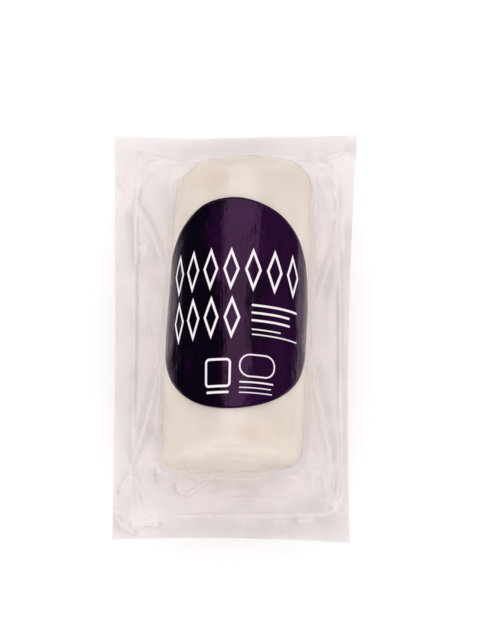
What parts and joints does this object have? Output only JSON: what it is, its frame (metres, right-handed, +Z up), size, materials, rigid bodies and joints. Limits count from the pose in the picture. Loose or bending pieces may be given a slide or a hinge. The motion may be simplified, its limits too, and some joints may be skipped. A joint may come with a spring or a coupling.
{
  "type": "vacuum-packed goat cheese log",
  "caption": "Fresh round cheese log sealed between two clear films with a flat skirt all round, a plain round dark label wrapped over its top.",
  "frame": {"origin": "on the surface that the pack lies on, under the middle of the pack's box", "axes": "+Z up through the label, +Y along the pack to the end that the log lies nearer to, +X across it"},
  "size_m": [0.0908, 0.1536, 0.051],
  "materials": {
    "cheese": "moist, smooth fresh cheese, ivory white",
    "clear_film": "clear glossy vacuum film, slightly milky",
    "label": "glossy printed film label, dark aubergine with cream print"
  },
  "bodies": {
    "root": {"cheese_log": "cheese", "lidding_film": "clear_film", "formed_film": "clear_film", "round_label": "label"}
  },
  "joints": []
}
